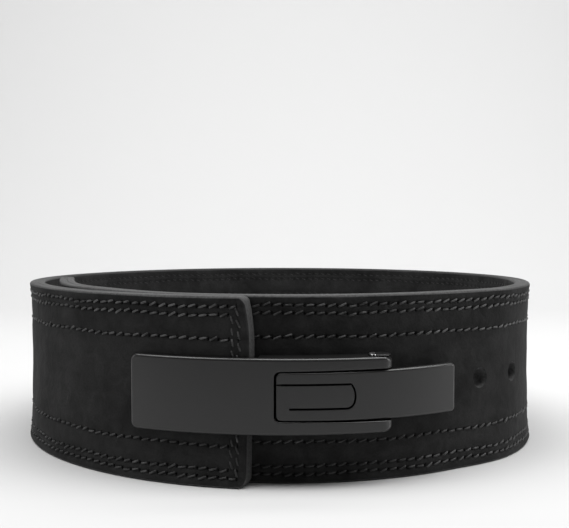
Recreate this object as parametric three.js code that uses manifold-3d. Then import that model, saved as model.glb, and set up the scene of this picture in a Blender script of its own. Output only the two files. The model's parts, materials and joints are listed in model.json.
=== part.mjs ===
// Weightlifting lever belt: one stiff leather strap, curled into a loop that stands on its lower
// edge, and a black steel lever buckle that holds its overlapping ends.
// Millimetres, +Z up, buckle towards -Y. An angle goes round the loop in degrees from the middle
// of the front and grows to the right, past the back and on to the left.

import * as THREE from "three";
import { mergeVertices } from "three/addons/utils/BufferGeometryUtils.js";
import Module from "manifold-3d";

const wasm = await Module();
wasm.setup();

// Strap
const strapHeight = 100;
const strapThickness = 10;
const loopRadius = 163; // outer face where there is one layer
const layerStep = 11; // the overlapping end lies this far outside the loop radius
const stepStart = 155;
const stepEnd = 273;
const tuckedTip = -90; // angle of the end under the overlap
const tuckCurl = 8; // that end springs inwards by up to this much
const tuckCurlStart = -44;
const tuckCurlWave = 0.72; // share of half a wave that the curl runs through, so the tip turns back out
const sideBulge = 4.5; // right of the buckle the stiff strap stands out by up to this much
const bulgeStart = 33;
const bulgeMiddle = 51;
const bulgeEnd = 85;
const outerTip = 353.6; // angle of the end that shows on the front
const outerTipSlant = 2.3; // its cut slopes, so that the inner face is longer
const slantReach = 15;
const edgeFlare = 1.7; // both long edges bend outwards
const strapBevel = 1.4;
const strapCorner = 5;
const strapStep = 4; // degrees between sections

// Punched holes, one row along the middle of the strap
const buckleHeight = 48.8;
const holeDiameter = 10;
const holePitch = 33.5;
const firstFreeHole = 41.9; // angle of the first hole right of the buckle
const holesLeftOfIt = 2;
const holesRightOfIt = 1;
const prongHoleSetback = 20; // first hole of the outer end, from its edge
const prongCount = 2;

// Lever, the wide plate that forks to the right round the tongue. Past the strap's end its two
// long edges are folded down into cheeks, which carry the hinge pin.
const plateGap = 0.4;
const leverThickness = 3.2;
const leverWidth = 40.2;
const leverTip = -28.8;
const leverCorner = 4;
const slotEnd = -2.4;
const slotWidth = 27.4;
const slotCorner = 3;
const plateBevel = 1;
const cheekStart = -5.2;
const cheekThickness = 3;
const plateStep = 3;
const prongDiameter = 5.2;
const prongLength = 8.5;

// Hinge
const pinAngle = 16.5;
const pinDiameter = 4.5;
const pinClearance = 0.3;
const pinHeadDiameter = 12;
const pinHeadThickness = 0.9;
const pinSetback = 0.6; // its lower end lies this far inside the lever
const lobeRadius = 6.8;
const lobeRounding = 3;

// Base plate, a bridge of bent plate that shows as the tongue in the fork
const tongueWidth = 25.6;
const tongueThickness = 3.4;
const tongueBevel = 1.2;
const tongueStart = -2.07;
const tongueEnd = 32.35;
const tongueCorner = 2.6;
const tongueDrop = 6; // how far its face falls towards the leather
const tongueDropStart = 8;
const tongueDropReach = 34;
const legThickness = 2.6;
const knuckleHalfAngle = 1.9;
const knuckleBelowPin = 2;
const knuckleInset = 0.2;
const tabHeight = 11.8;
const tabStart = 0.5;
const tabEnd = 33;
const tabBulge = 2.4;
const slitWidth = 0.8;

// Screws, put in from inside the loop
const bossDiameter = 9;
const bossDepth = 6;
const shoulderDiameter = 15; // stands on the leather round the hole
const screwDiameter = 5;
const screwHeadDiameter = 18;
const screwHeadThickness = 1.5;
const screwSlotWidth = 1.6;
const screwSlotDepth = 0.7;
const seatGap = 0.25;
const screwSeatGap = 0.6; // a flat head meets the curved leather at its rim

const beyond = 5; // cutting shapes reach this far past what they cut
const sunk = 1; // and joined ones this far into each other
const roundSides = 20;

const leatherOuter = loopRadius;
const leatherInner = loopRadius - strapThickness;
const overlapOuter = loopRadius + layerStep;
const leverBack = overlapOuter + plateGap;
const leverFace = leverBack + leverThickness;
const pinRadialPlace = leverFace - lobeRadius;
const boreRadius = pinDiameter / 2 + pinClearance;
const screwReach = leatherOuter + 3.2;
const holeAngle = degrees(holePitch / loopRadius);

function degrees(radians) {
  return THREE.MathUtils.radToDeg(radians);
}

function angleOf(length, radius) {
  return degrees(length / radius);
}

// A point at an angle round the loop, a distance from its middle and a height.
function place(angle, radius, height) {
  const turn = THREE.MathUtils.degToRad(angle);
  return new THREE.Vector3(radius * Math.sin(turn), -radius * Math.cos(turn), height);
}

// Radius of the strap's outer face at an angle, which runs on past 360 where the ends overlap.
function strapOuterFace(angle) {
  const stepped = layerStep * THREE.MathUtils.smoothstep(angle, stepStart, stepEnd);
  const tucked = Math.max(0, (tuckCurlStart - angle) / (tuckCurlStart - tuckedTip));
  const curled = tuckCurl * Math.sin(Math.PI * tuckCurlWave * tucked) ** 2;
  const rise = THREE.MathUtils.smoothstep(angle, bulgeStart, bulgeMiddle);
  const fall = THREE.MathUtils.smoothstep(angle, bulgeMiddle, bulgeEnd);
  return loopRadius + stepped - curled + sideBulge * (rise - fall);
}

function tongueFace(angle) {
  const fall = THREE.MathUtils.smoothstep(angle, tongueDropStart, tongueDropStart + tongueDropReach);
  return leverFace - tongueDrop * fall;
}

// Angles from one end to the other, with more of them where the end corners are rounded.
// Each station has the amount by which the corner cuts the height there.
function stationsBetween(from, to, step, radius, startCorner, endCorner) {
  const quarterSteps = [0, 1, 2, 3, 4];
  const quarter = Math.PI / 2 / 4;
  const rounded = (corner, end, way) =>
    quarterSteps.map((k) => ({
      angle: end + way * angleOf(corner * (1 - Math.cos(k * quarter)), radius),
      cut: corner * (1 - Math.sin(k * quarter)),
    }));
  const start = startCorner ? rounded(startCorner, from, 1) : [{ angle: from, cut: 0 }];
  const end = endCorner ? rounded(endCorner, to, -1) : [{ angle: to, cut: 0 }];
  const first = start.at(-1).angle;
  const last = end.at(-1).angle;
  const count = Math.max(1, Math.round((last - first) / step));
  const between = [];
  for (let k = 1; k < count; k++) {
    between.push({ angle: first + ((last - first) * k) / count, cut: 0 });
  }
  return [...start, ...between, ...end.reverse()];
}

// A bar bent round the loop. rails(station) gives two equally long lists of points,
// up the outer face and up the inner face.
function bentBar(stations, rails) {
  const positions = [];
  const index = [];
  let size = 0;
  for (const station of stations) {
    const { outer, inner } = rails(station);
    size = outer.length;
    for (const point of [...outer, ...inner]) {
      positions.push(point.x, point.y, point.z);
    }
  }
  const quad = (a, b, c, d) => index.push(a, b, c, a, c, d);
  const at = (section, rail, row) => section * 2 * size + rail * size + row;
  for (let s = 0; s + 1 < stations.length; s++) {
    for (let row = 0; row + 1 < size; row++) {
      quad(at(s, 0, row), at(s + 1, 0, row), at(s + 1, 0, row + 1), at(s, 0, row + 1));
      quad(at(s, 1, row), at(s, 1, row + 1), at(s + 1, 1, row + 1), at(s + 1, 1, row));
    }
    const top = size - 1;
    quad(at(s, 0, top), at(s + 1, 0, top), at(s + 1, 1, top), at(s, 1, top));
    quad(at(s, 0, 0), at(s, 1, 0), at(s + 1, 1, 0), at(s + 1, 0, 0));
  }
  const last = stations.length - 1;
  for (let row = 0; row + 1 < size; row++) {
    quad(at(0, 0, row), at(0, 0, row + 1), at(0, 1, row + 1), at(0, 1, row));
    quad(at(last, 0, row), at(last, 1, row), at(last, 1, row + 1), at(last, 0, row + 1));
  }
  const geometry = new THREE.BufferGeometry();
  geometry.setAttribute("position", new THREE.Float32BufferAttribute(positions, 3));
  geometry.setIndex(index);
  return geometry;
}

// A plain bent bar: faceAt and backAt give the radius of its two faces, low and high its heights.
function plateBar(stations, faceAt, backAt, low, high, bevel) {
  return bentBar(stations, ({ angle, cut }) => {
    const face = faceAt(angle);
    const back = backAt(angle);
    const bottom = low + cut;
    const top = high - cut;
    const heights = [bottom, bottom + bevel, top - bevel, top];
    const outer = heights.map((height, k) => {
      const onEdge = k === 0 || k === heights.length - 1;
      return place(angle, onEdge ? face - bevel : face, height);
    });
    const inner = heights.map((height) => place(angle, back, height));
    return { outer, inner };
  });
}

function solid(geometry) {
  const bare = geometry.clone();
  bare.deleteAttribute("normal");
  bare.deleteAttribute("uv");
  const merged = mergeVertices(bare, 1e-4);
  return new wasm.Manifold(
    new wasm.Mesh({
      numProp: 3,
      vertProperties: new Float32Array(merged.attributes.position.array),
      triVerts: new Uint32Array(merged.index.array),
    }),
  );
}

function geometryOf(body) {
  const mesh = body.getMesh();
  const geometry = new THREE.BufferGeometry();
  geometry.setAttribute("position", new THREE.BufferAttribute(mesh.vertProperties, 3));
  geometry.setIndex(new THREE.BufferAttribute(mesh.triVerts, 1));
  geometry.computeVertexNormals();
  return geometry;
}

// A round rod from one point to another, a cone where the end radius differs.
function rod(from, to, radius, endRadius = radius) {
  const along = new THREE.Vector3().subVectors(to, from);
  const geometry = new THREE.CylinderGeometry(endRadius, radius, along.length(), roundSides);
  const up = new THREE.Vector3(0, 1, 0);
  geometry.applyQuaternion(new THREE.Quaternion().setFromUnitVectors(up, along.clone().normalize()));
  const middle = new THREE.Vector3().addVectors(from, to).multiplyScalar(0.5);
  geometry.translate(middle.x, middle.y, middle.z);
  return solid(geometry);
}

// A round rod that points at the middle of the loop.
function radialRod(angle, fromRadius, toRadius, diameter) {
  const from = place(angle, fromRadius, buckleHeight);
  const to = place(angle, toRadius, buckleHeight);
  return rod(from, to, diameter / 2);
}

// A turned shape on the hinge axis, from radius and height pairs.
function turnedOnHinge(profile) {
  const points = profile.map(([radius, height]) => new THREE.Vector2(radius, height));
  const geometry = new THREE.LatheGeometry(points, roundSides);
  geometry.rotateX(Math.PI / 2);
  const axis = place(pinAngle, pinRadialPlace, 0);
  geometry.translate(axis.x, axis.y, 0);
  return solid(geometry);
}

// The hole for the hinge pin, longer than the lever is wide.
function hingeBore() {
  const reach = leverWidth / 2 + beyond;
  return turnedOnHinge([
    [0, buckleHeight - reach],
    [boreRadius, buckleHeight - reach],
    [boreRadius, buckleHeight + reach],
    [0, buckleHeight + reach],
  ]);
}

function strapBody() {
  const stations = stationsBetween(tuckedTip, outerTip, strapStep, loopRadius, strapCorner, strapCorner);
  const rows = [0, 0.09, 0.25, 0.5, 0.75, 0.91, 1]; // shares of the height, closer at the flare
  const half = strapHeight / 2;
  return bentBar(stations, ({ angle, cut }) => {
    const face = strapOuterFace(angle);
    const low = cut;
    const high = strapHeight - cut;
    const nearTip = Math.max(0, 1 - ((outerTip - angle) * Math.PI * face) / 180 / slantReach);
    const slant = angleOf(outerTipSlant * nearTip, face);
    const flareAt = (height) => edgeFlare * ((height - half) / half) ** 4;
    const levels = rows.map((row) => low + strapBevel + row * (high - low - 2 * strapBevel));
    const outer = levels.map((height) => place(angle - slant, face + flareAt(height), height));
    const inner = levels.map((height) =>
      place(angle, face - strapThickness + flareAt(height), height),
    );
    for (const [height, put] of [
      [low, "unshift"],
      [high, "push"],
    ]) {
      const edge = face + flareAt(height);
      outer[put](place(angle - slant, edge - strapBevel, height));
      inner[put](place(angle, edge - strapThickness + strapBevel, height));
    }
    return { outer, inner };
  });
}

// Angles of the holes in the single layer and in the overlapping end.
function sizeHoleAngles() {
  const angles = [];
  for (let k = -holesLeftOfIt; k <= holesRightOfIt; k++) {
    angles.push(firstFreeHole + k * holeAngle);
  }
  return angles;
}

function prongHoleAngles() {
  const angles = [];
  for (let k = 0; k < prongCount; k++) {
    angles.push(outerTip - 360 - angleOf(prongHoleSetback + k * holePitch, overlapOuter));
  }
  return angles;
}

function strap() {
  const gapBetweenLayers = (leatherOuter + overlapOuter - strapThickness) / 2;
  let body = solid(strapBody());
  for (const angle of sizeHoleAngles()) {
    const hole = radialRod(angle, leatherInner - beyond, leatherOuter + 2 * beyond, holeDiameter);
    body = body.subtract(hole);
  }
  for (const angle of prongHoleAngles()) {
    const hole = radialRod(angle, gapBetweenLayers, overlapOuter + beyond, holeDiameter);
    body = body.subtract(hole);
  }
  return body;
}

// One prong. It points square to the line from the hinge, so that it slides straight out of its hole.
function prong(angle) {
  const hinge = place(pinAngle, pinRadialPlace, buckleHeight);
  const middle = place(angle, overlapOuter - strapThickness / 2, buckleHeight);
  const line = new THREE.Vector3().subVectors(middle, hinge).normalize();
  const outward = new THREE.Vector3(-line.y, line.x, 0);
  const depth = strapThickness / 2 + plateGap + leverThickness / 2;
  const root = middle.clone().addScaledVector(outward, depth);
  const tip = root.clone().addScaledVector(outward, -prongLength - leverThickness / 2);
  return rod(root, tip, prongDiameter / 2, prongDiameter / 3);
}

function leverPlate() {
  const low = buckleHeight - leverWidth / 2;
  const high = buckleHeight + leverWidth / 2;
  const slotLow = buckleHeight - slotWidth / 2;
  const slotHigh = buckleHeight + slotWidth / 2;
  const face = () => leverFace;
  const back = () => leverBack;
  const stations = stationsBetween(leverTip, pinAngle, plateStep, leverFace, leverCorner, 0);
  let body = solid(plateBar(stations, face, back, low, high, plateBevel));
  const upperLobe = [
    [0, slotHigh],
    [lobeRadius, slotHigh],
    [lobeRadius, high - plateBevel],
    [lobeRadius - plateBevel, high],
    [0, high],
  ];
  const lowerLobe = [[0, low]];
  const steps = 4;
  for (let k = 0; k <= steps; k++) {
    const turn = (k / steps) * (Math.PI / 2);
    lowerLobe.push([
      lobeRadius - lobeRounding * (1 - Math.sin(turn)),
      low + lobeRounding * (1 - Math.cos(turn)),
    ]);
  }
  lowerLobe.push([lobeRadius, slotLow], [0, slotLow]);
  const cheekStations = stationsBetween(cheekStart, pinAngle, plateStep, leverFace, 0, 0);
  const cheekFace = () => leverFace - plateBevel;
  const cheekFoot = () => pinRadialPlace - lobeRadius;
  for (const edge of [low, high - cheekThickness]) {
    const cheek = plateBar(cheekStations, cheekFace, cheekFoot, edge, edge + cheekThickness, 0);
    body = body.add(solid(cheek));
  }
  const slotStop = 2 * pinAngle;
  const slotStations = stationsBetween(slotEnd, slotStop, plateStep, leverFace, slotCorner, 0);
  const slotFace = () => leverFace + beyond;
  const slotBack = () => leverBack - beyond;
  body = body.subtract(solid(plateBar(slotStations, slotFace, slotBack, slotLow, slotHigh, 0)));
  body = body.add(turnedOnHinge(upperLobe)).add(turnedOnHinge(lowerLobe));
  for (const angle of prongHoleAngles()) {
    body = body.add(prong(angle));
  }
  return body.subtract(hingeBore());
}

// The slit that frees the tab in the tongue, as its outline seen from the front.
function tabSlit() {
  const half = tabHeight / 2;
  const radius = (half ** 2 + tabBulge ** 2) / (2 * tabBulge);
  const centre = tabEnd + tabBulge - radius;
  const innerTurn = Math.asin(half / radius);
  const outerTurn = Math.asin((half + slitWidth) / (radius + slitWidth));
  const start = -12; // left of the tongue's end, so that the upper line runs out there
  const outline = new THREE.Shape();
  outline.moveTo(start, half);
  outline.absarc(centre, 0, radius, innerTurn, -innerTurn, true);
  outline.lineTo(tabStart, -half);
  outline.lineTo(tabStart, -half - slitWidth);
  outline.absarc(centre, 0, radius + slitWidth, -outerTurn, outerTurn, false);
  outline.lineTo(start, half + slitWidth);
  outline.closePath();
  const depth = layerStep + beyond;
  const geometry = new THREE.ExtrudeGeometry(outline, { depth, bevelEnabled: false, curveSegments: 8 });
  geometry.rotateX(Math.PI / 2);
  geometry.translate(0, depth - leverFace - beyond, buckleHeight);
  return solid(geometry);
}

// Holes of the two screws that hold the base plate: the two next to the first free hole.
function screwAngles() {
  return [firstFreeHole - 2 * holeAngle, firstFreeHole - holeAngle];
}

function basePlate() {
  const low = buckleHeight - tongueWidth / 2;
  const high = buckleHeight + tongueWidth / 2;
  const foot = leatherOuter + plateGap;
  const underFace = (angle) => tongueFace(angle) - sunk;
  const back = (angle) => tongueFace(angle) - tongueThickness;
  const stations = stationsBetween(tongueStart, tongueEnd, plateStep, loopRadius, tongueCorner, tongueCorner);
  let body = solid(plateBar(stations, tongueFace, back, low, high, tongueBevel));
  const legAngle = angleOf(legThickness, loopRadius);
  const supports = [
    { from: tongueStart, to: tongueStart + legAngle, foot, inset: tongueCorner },
    { from: tongueEnd - legAngle, to: tongueEnd, foot, inset: tongueCorner },
    {
      from: pinAngle - knuckleHalfAngle,
      to: pinAngle + knuckleHalfAngle,
      foot: pinRadialPlace - pinDiameter / 2 - knuckleBelowPin,
      inset: knuckleInset,
    },
  ];
  for (const support of supports) {
    const ends = stationsBetween(support.from, support.to, plateStep, loopRadius, 0, 0);
    const heights = [low + support.inset, high - support.inset];
    body = body.add(solid(plateBar(ends, underFace, () => support.foot, ...heights, 0)));
  }
  for (const angle of screwAngles()) {
    body = body.add(radialRod(angle, foot, underFace(angle), shoulderDiameter));
    body = body.add(radialRod(angle, leatherOuter - bossDepth, underFace(angle), bossDiameter));
  }
  for (const angle of screwAngles()) {
    const shankHole = screwDiameter + 2 * pinClearance;
    body = body.subtract(radialRod(angle, leatherInner, screwReach + pinClearance, shankHole));
  }
  return body.subtract(hingeBore()).subtract(tabSlit());
}

function hingePin() {
  const radius = pinDiameter / 2;
  const bottom = buckleHeight - leverWidth / 2 + pinSetback;
  const headBottom = buckleHeight + leverWidth / 2 + seatGap;
  const headTop = headBottom + pinHeadThickness;
  const headRadius = pinHeadDiameter / 2;
  const rounding = pinHeadThickness * 0.6;
  return turnedOnHinge([
    [0, bottom],
    [radius, bottom],
    [radius, headBottom],
    [headRadius, headBottom],
    [headRadius, headTop - rounding],
    [headRadius - rounding, headTop],
    [0, headTop],
  ]);
}

function screw(angle) {
  const headOut = leatherInner - screwSeatGap;
  const headIn = headOut - screwHeadThickness;
  let body = radialRod(angle, headIn, headOut, screwHeadDiameter);
  body = body.add(radialRod(angle, headOut - sunk / 2, screwReach, screwDiameter));
  const slotLength = screwHeadDiameter + beyond;
  const slotGeometry = new THREE.BoxGeometry(slotLength, 2 * screwSlotDepth, screwSlotWidth);
  slotGeometry.rotateZ(THREE.MathUtils.degToRad(angle));
  const middle = place(angle, headIn, buckleHeight);
  slotGeometry.translate(middle.x, middle.y, middle.z);
  return body.subtract(solid(slotGeometry));
}

const suede = new THREE.MeshStandardMaterial({ color: 0x262626, roughness: 0.95, metalness: 0 });
const blackSteel = new THREE.MeshStandardMaterial({ color: 0x373737, roughness: 0.5, metalness: 0.3 });

function piece(name, body, material) {
  const mesh = new THREE.Mesh(geometryOf(body), material.clone());
  mesh.name = name;
  return mesh;
}

const belt = new THREE.Group();
belt.add(piece("strap", strap(), suede));
belt.add(piece("lever_plate", leverPlate(), blackSteel));
belt.add(piece("base_plate", basePlate(), blackSteel));
belt.add(piece("hinge_pin", hingePin(), blackSteel));
for (const [k, angle] of screwAngles().entries()) {
  belt.add(piece(`screw_${k + 1}`, screw(angle), blackSteel));
}

// The part's origin is under the middle of its box, on the surface that it stands on.
const box = new THREE.Box3().setFromObject(belt);
const middle = box.getCenter(new THREE.Vector3());
belt.position.set(-middle.x, -middle.y, -box.min.z);

const group = new THREE.Group();
group.add(belt);

export default group;
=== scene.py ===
# A weightlifting lever belt: a stiff strap of black suede leather, sewn along its edges, and a
# powder coated steel buckle. The strap stands on its lower edge.
# Lengths are in millimetres until a mesh is made. An angle goes round the loop in degrees, from
# the middle of the front to the right, past the back and on to the left. A way is a length along
# the strap's outer face, from the end that is tucked under to the end that shows.
import json
import math

import bmesh
import bpy
import numpy as np
from mathutils import Matrix, Vector


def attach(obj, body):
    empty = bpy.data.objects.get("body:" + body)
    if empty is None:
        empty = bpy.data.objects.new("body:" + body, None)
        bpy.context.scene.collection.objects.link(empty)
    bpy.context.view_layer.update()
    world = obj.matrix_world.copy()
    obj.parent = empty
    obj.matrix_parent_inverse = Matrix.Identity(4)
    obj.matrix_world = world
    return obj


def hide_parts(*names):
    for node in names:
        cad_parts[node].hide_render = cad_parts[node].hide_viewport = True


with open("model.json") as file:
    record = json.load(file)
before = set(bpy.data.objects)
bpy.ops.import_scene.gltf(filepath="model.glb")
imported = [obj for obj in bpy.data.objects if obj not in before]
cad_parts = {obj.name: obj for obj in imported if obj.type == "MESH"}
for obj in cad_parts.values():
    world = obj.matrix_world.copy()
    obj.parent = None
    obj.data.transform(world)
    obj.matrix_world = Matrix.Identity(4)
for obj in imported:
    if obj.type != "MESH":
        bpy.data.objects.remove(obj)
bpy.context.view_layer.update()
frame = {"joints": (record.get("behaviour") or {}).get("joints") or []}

mm = 0.001
scene = bpy.context.scene
scene.view_settings.view_transform = "Standard"  # greys come out as their hex values say

loop = {
    "centre": (5.4465, 5.8647),  # middle of the loop, in the part's frame
    "radius": 163.0,  # outer face where there is one layer
    "height": 100.0,
    "thickness": 10.0,
    "layerStep": 11.0,  # the overlapping end lies this far outside
    "stepFrom": 155.0,
    "stepTo": 273.0,
    "tuckedTip": -90.0,
    "tuckCurl": 8.0,
    "tuckCurlFrom": -44.0,
    "tuckCurlWave": 0.72,
    "sideBulge": 4.5,
    "bulgeFrom": 33.0,
    "bulgeMiddle": 51.0,
    "bulgeTo": 85.0,
    "outerTip": 353.6,
    "tipSlant": 2.3,  # the outer end is cut at a slant
    "slantReach": 15.0,
    # Height, and how much further on the outer end's cut lies there
    "tipLine": ((0, -0.5), (24, -0.5), (50, 0.5), (73, 1.0), (83, 0.6), (92, -0.6), (100, -2.2)),
    "edgeFlare": 1.7,  # both long edges bend outwards
    "lowFlare": 2.4,
    "endSpread": 1.4,  # the lower edge flares more near the outer end
    "endSpreadFor": 110.0,
    "wander": 0.3,  # the seams aren't quite straight
    "wanderEnds": 4.0,  # but the cut edges are
    "frontRise": 0.8,  # the upper edge is a little higher at the front
    "frontRiseTo": (60, 120),  # and falls away between these angles
    "tuckedRise": 1.1,  # it is higher on the part that is tucked under
    "tuckedRiseTo": (-48, -20),
    "middle": 48.8,  # height of the holes and the buckle
}


def smoothstep(value, low, high):
    share = np.clip((np.asarray(value, float) - low) / (high - low), 0, 1)
    return share * share * (3 - 2 * share)


def faceRadius(angle):
    angle = np.asarray(angle, float)
    curlSpan = loop["tuckCurlFrom"] - loop["tuckedTip"]
    tucked = np.clip((loop["tuckCurlFrom"] - angle) / curlSpan, 0, None)
    step = loop["layerStep"] * smoothstep(angle, loop["stepFrom"], loop["stepTo"])
    curled = loop["tuckCurl"] * np.sin(math.pi * loop["tuckCurlWave"] * tucked) ** 2
    rise = smoothstep(angle, loop["bulgeFrom"], loop["bulgeMiddle"])
    fall = smoothstep(angle, loop["bulgeMiddle"], loop["bulgeTo"])
    return loop["radius"] + step - curled + loop["sideBulge"] * (rise - fall)


angleSteps = np.linspace(loop["tuckedTip"], loop["outerTip"], 2000)
arcSteps = np.radians(np.diff(angleSteps)) * faceRadius(angleSteps[:-1])
waySteps = np.concatenate([[0], np.cumsum(arcSteps)])
strapLength = float(waySteps[-1])
print("strap length", round(strapLength), "mm")


def inPart(angle, radius, height):
    # Points round the loop, in metres in the part's frame
    turn = np.radians(angle)
    x = loop["centre"][0] + radius * np.sin(turn)
    y = loop["centre"][1] - radius * np.cos(turn)
    return np.stack(np.broadcast_arrays(x, y, height), axis=-1) * mm


def onStrap(way, height, depth):
    # A point at a depth under the outer face, 0 on the face and 10 on the inner one
    angle = np.interp(way, waySteps, angleSteps)
    half = loop["height"] / 2
    low = np.clip((half - height) / half, 0, None)
    high = np.clip((height - half) / half, 0, None)
    nearEnd = smoothstep(way, strapLength - loop["endSpreadFor"], strapLength)
    spread = loop["lowFlare"] + loop["endSpread"] * nearEnd
    flare = loop["edgeFlare"] * high**4 + spread * low**3
    nearTip = np.clip(1 - (strapLength - way) / loop["slantReach"], 0, None)
    slant = loop["tipSlant"] * (1 - depth / loop["thickness"])
    slant = slant - np.interp(height, *zip(*loop["tipLine"]))
    face = faceRadius(angle)
    ends = loop["wanderEnds"]
    inside = smoothstep(height, 0, ends) * smoothstep(loop["height"] - height, 0, ends)
    wander = loop["wander"] * np.sin(way / 11 + height / 9) * inside
    front = 1 - smoothstep(abs(angle), *loop["frontRiseTo"]) * smoothstep(360 - angle, *loop["frontRiseTo"])
    rise = loop["frontRise"] * front + loop["tuckedRise"] * (1 - smoothstep(angle, *loop["tuckedRiseTo"]))
    wander = wander + rise * np.clip(height / loop["height"], 0, 1) ** 3
    return inPart(angle - np.degrees(slant * nearTip / face), face + flare - depth, height + wander)


# Camera, at the place that makes the belt fill the same part of the frame
view = {"lens": 58.48, "sensor": 36.0, "place": (3.48, -646.58, 138.06), "tiltDown": 2.43}


def addCamera():
    data = bpy.data.cameras.new("camera")
    data.lens = view["lens"]
    data.sensor_width = view["sensor"]
    data.sensor_fit = "HORIZONTAL"
    data.clip_start = 0.01
    camera = addObject("camera", data)
    camera.location = Vector(view["place"]) * mm
    camera.rotation_euler = (math.radians(90 - view["tiltDown"]), 0, 0)
    scene.camera = camera


# Mesh helpers

beyond = 5.0  # a cutting shape reaches this far past what it cuts
close = 0.1  # points this near to a line lie on it
inLine = 0.02  # sides that turn by less than this are in line


def addObject(name, data):
    made = bpy.data.objects.new(name, data)
    scene.collection.objects.link(made)
    return made


def meshFromArrays(name, points, faces, slots=None):
    mesh = bpy.data.meshes.new(name)
    mesh.from_pydata([tuple(p) for p in points], [], faces)
    if slots is not None:
        mesh.polygons.foreach_set("material_index", slots)
    mesh.update()
    return addObject(name, mesh)


def lofted(name, rings, matrix=Matrix()):
    # Joins rings that have as many points each, and closes both ends
    bm = bmesh.new()
    rings = [[bm.verts.new(point) for point in ring] for ring in rings]
    for lower, upper in zip(rings, rings[1:]):
        for k in range(len(lower)):
            n = (k + 1) % len(lower)
            bm.faces.new((lower[k], lower[n], upper[n], upper[k]))
    bm.faces.new(rings[0])
    bm.faces.new(rings[-1])
    bm.transform(matrix)
    bmesh.ops.recalc_face_normals(bm, faces=bm.faces[:])
    mesh = bpy.data.meshes.new(name)
    bm.to_mesh(mesh)
    bm.free()
    return addObject(name, mesh)


def apply(obj):
    graph = bpy.context.evaluated_depsgraph_get()
    mesh = bpy.data.meshes.new_from_object(obj.evaluated_get(graph))
    old = obj.data
    obj.modifiers.clear()
    obj.data = mesh
    mesh.name = obj.name
    if not old.users:
        bpy.data.meshes.remove(old)
    return obj


def combine(base, operation, others):
    # Joins the others to the base, or cuts them from it
    for other in others:
        step = base.modifiers.new("combine", "BOOLEAN")
        step.operation = operation
        step.solver = "EXACT"
        step.material_mode = "INDEX"
        step.object = other
        apply(base)
        bpy.data.objects.remove(other)
    return base


def filleted(corners, steps=5):
    # An outline from corners with radii: (a, b, radius)
    outline = []
    for k, (a, b, radius) in enumerate(corners):
        here = Vector((a, b))
        if not radius:
            outline.append(here)
            continue
        before = (Vector(corners[k - 1][:2]) - here).normalized()
        after = (Vector(corners[(k + 1) % len(corners)][:2]) - here).normalized()
        half = before.angle(after) / 2
        middle = here + (before + after).normalized() * radius / math.sin(half)
        start = here + before * radius / math.tan(half) - middle
        end = here + after * radius / math.tan(half) - middle
        sweep = start.angle_signed(end)
        for n in range(steps + 1):
            turned = start.copy()
            turned.rotate(Matrix.Rotation(-sweep * n / steps, 2))
            outline.append(middle + turned)
    return outline


def prism(name, outline, low, high, place):
    # place(a, b, c) puts a point of the outline at a height c into the flat layout
    return lofted(name, [[place(a, b, c) for a, b in outline] for c in (low, high)])


def insetWays(outline, isOpen):
    # How each point of an outline moves when all sides but the open ones move in by one
    corners = [Vector(point) for point in outline]
    area = sum(a.cross(b) for a, b in zip(corners, corners[1:] + corners[:1]))
    turn = 1 if area > 0 else -1
    ways = []
    for k, here in enumerate(corners):
        pair = []
        for start, end in ((corners[k - 1], here), (here, corners[(k + 1) % len(corners)])):
            along = (end - start).normalized()
            pair.append((Vector((-along.y, along.x)) * turn, 0.0 if isOpen(start, end) else 1.0))
        (first, a), (second, b) = pair
        cross = first.cross(second)
        if abs(cross) < inLine:
            ways.append(first * a)
        else:
            ways.append(Vector((a * second.y - b * first.y, b * first.x - a * second.x)) / cross)
    return ways


def quarterTurns(steps):
    return [math.pi / 2 * k / steps for k in range(steps + 1)]


def roundStations(low, high, lowRound, highRound):
    # Sections of a solid with rounded ends: (height, rise, inset, which end)
    turns = quarterTurns(5)
    lower = [(low, lowRound * (1 - math.cos(t)), lowRound * (1 - math.sin(t)), 0) for t in turns]
    upper = [(high, -highRound * (1 - math.sin(t)), highRound * (1 - math.cos(t)), 1) for t in turns]
    return (lower if lowRound else lower[:1]) + (upper if highRound else upper[:1])


def closedAllRound(start, end):
    return False


def steppedPrism(name, outline, stations, place, isOpen=closedAllRound, shares=None):
    # The outline moves in by a station's inset, and shares scale that point by point for each end
    ways = insetWays(outline, isOpen)
    shares = shares or [[1.0] * len(outline)] * 2
    rings = []
    for height, rise, inset, end in stations:
        ring = []
        for point, way, share in zip(outline, ways, shares[end]):
            a, b = Vector(point) + way * inset * share
            ring.append(place(a, b, height + rise * share))
        rings.append(ring)
    return lofted(name, rings)


def turnedSolid(name, profile, sides, matrix=Matrix()):
    # A lathe shape round Z from pairs of radius and height, bottom to top, closed at both ends
    turns = [2 * math.pi * k / sides for k in range(sides)]
    rings = [[(r * math.cos(t), r * math.sin(t), z) for t in turns] for r, z in profile]
    return lofted(name, rings, matrix)


def dress(obj, material):
    obj.data.materials.clear()
    obj.data.materials.append(material)
    return obj


def smoothShade(obj, sharpAngle=35):
    bm = bmesh.new()
    bm.from_mesh(obj.data)
    for face in bm.faces:
        face.smooth = True
    for edge in bm.edges:
        edge.smooth = edge.calc_face_angle(0) < math.radians(sharpAngle)
    bm.to_mesh(obj.data)
    bm.free()
    weighted = obj.modifiers.new("flat faces stay flat", "WEIGHTED_NORMAL")
    weighted.keep_sharp = True
    return apply(obj)


# Materials


def linear(hexColour):
    parts = [int(hexColour[k : k + 2], 16) / 255 for k in (1, 3, 5)]
    return tuple(c / 12.92 if c <= 0.04045 else ((c + 0.055) / 1.055) ** 2.4 for c in parts) + (1,)


def addNode(tree, kind, settings={}, links={}):
    # A setting is an input's name or number, or else a property of the node
    node = tree.nodes.new("ShaderNode" + kind)
    for name, value in settings.items():
        if isinstance(name, int) or name in node.inputs:
            node.inputs[name].default_value = value
        else:
            setattr(node, name, value)
    for name, socket in links.items():
        tree.links.new(socket, node.inputs[name])
    return node


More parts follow.
